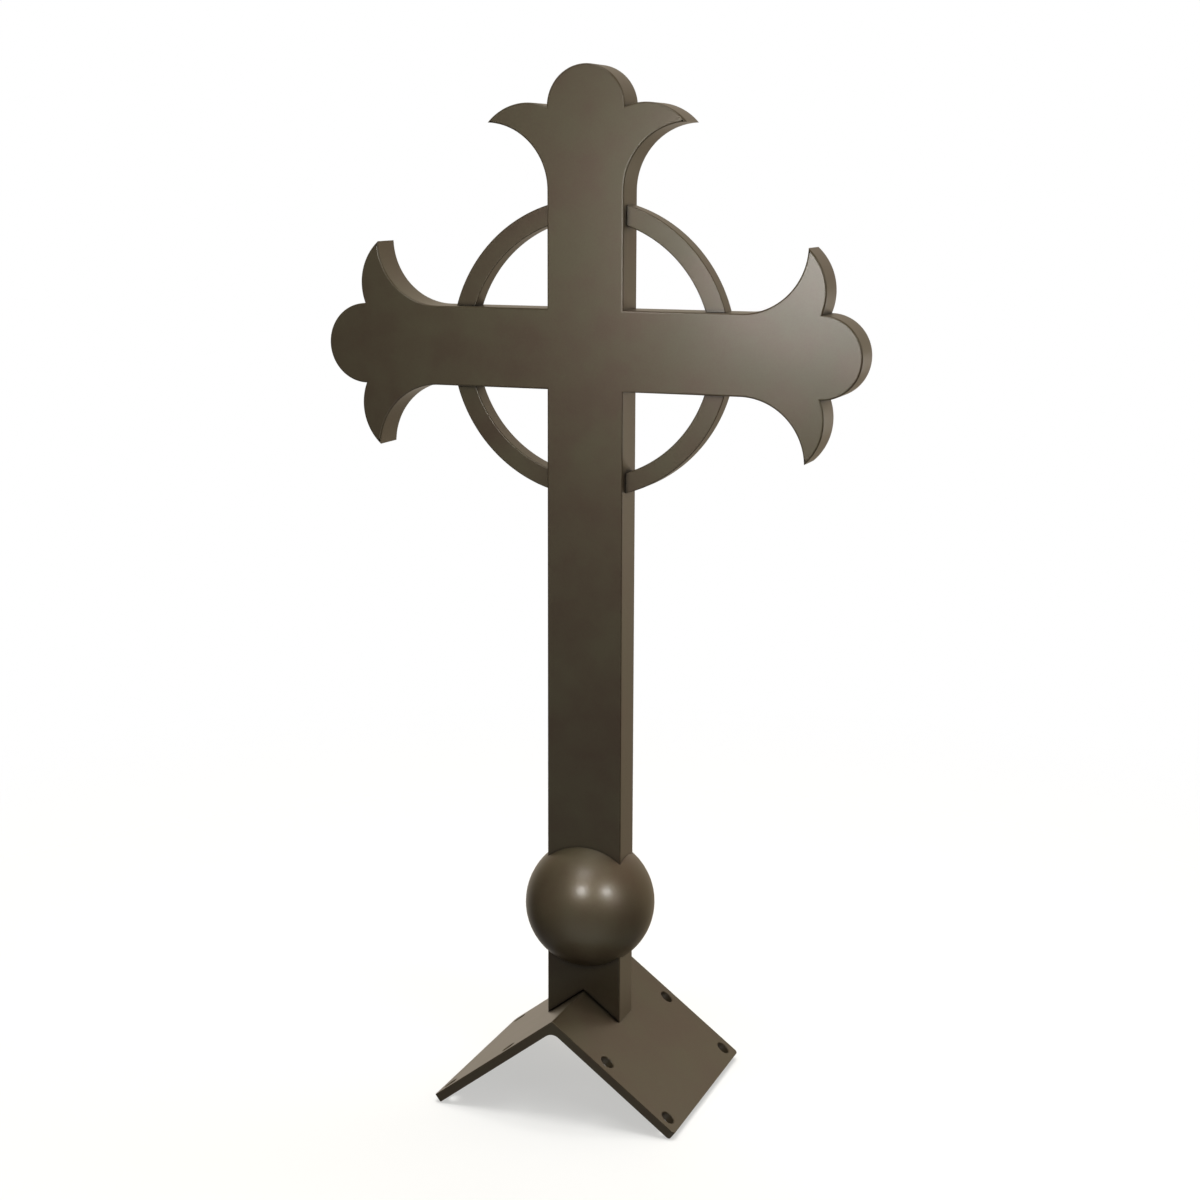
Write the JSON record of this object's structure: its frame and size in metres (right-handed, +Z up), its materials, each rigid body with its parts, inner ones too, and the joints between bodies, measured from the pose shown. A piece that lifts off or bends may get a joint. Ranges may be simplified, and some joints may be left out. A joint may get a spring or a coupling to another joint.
{
  "type": "roof cross",
  "caption": "Flat Latin cross with fleury ends, a quartered ring, a ball on the stem and a bent saddle plate that bolts over a roof ridge.",
  "frame": {"origin": "on the level that the saddle's lower edges stand on, midway between them, below the stem's axis", "axes": "+Z up along the stem, +X along the right arm as seen from the front, +Y from the front face to the back"},
  "size_m": [0.712, 0.2794, 1.3342],
  "materials": {
    "bronze_paint": "satin dark bronze paint on aluminium"
  },
  "bodies": {
    "root": {"cross": "bronze_paint", "ring_quarter_upper_right": "bronze_paint", "ring_quarter_upper_left": "bronze_paint", "ring_quarter_lower_left": "bronze_paint", "ring_quarter_lower_right": "bronze_paint", "ball": "bronze_paint", "ridge_saddle": "bronze_paint"}
  },
  "joints": []
}
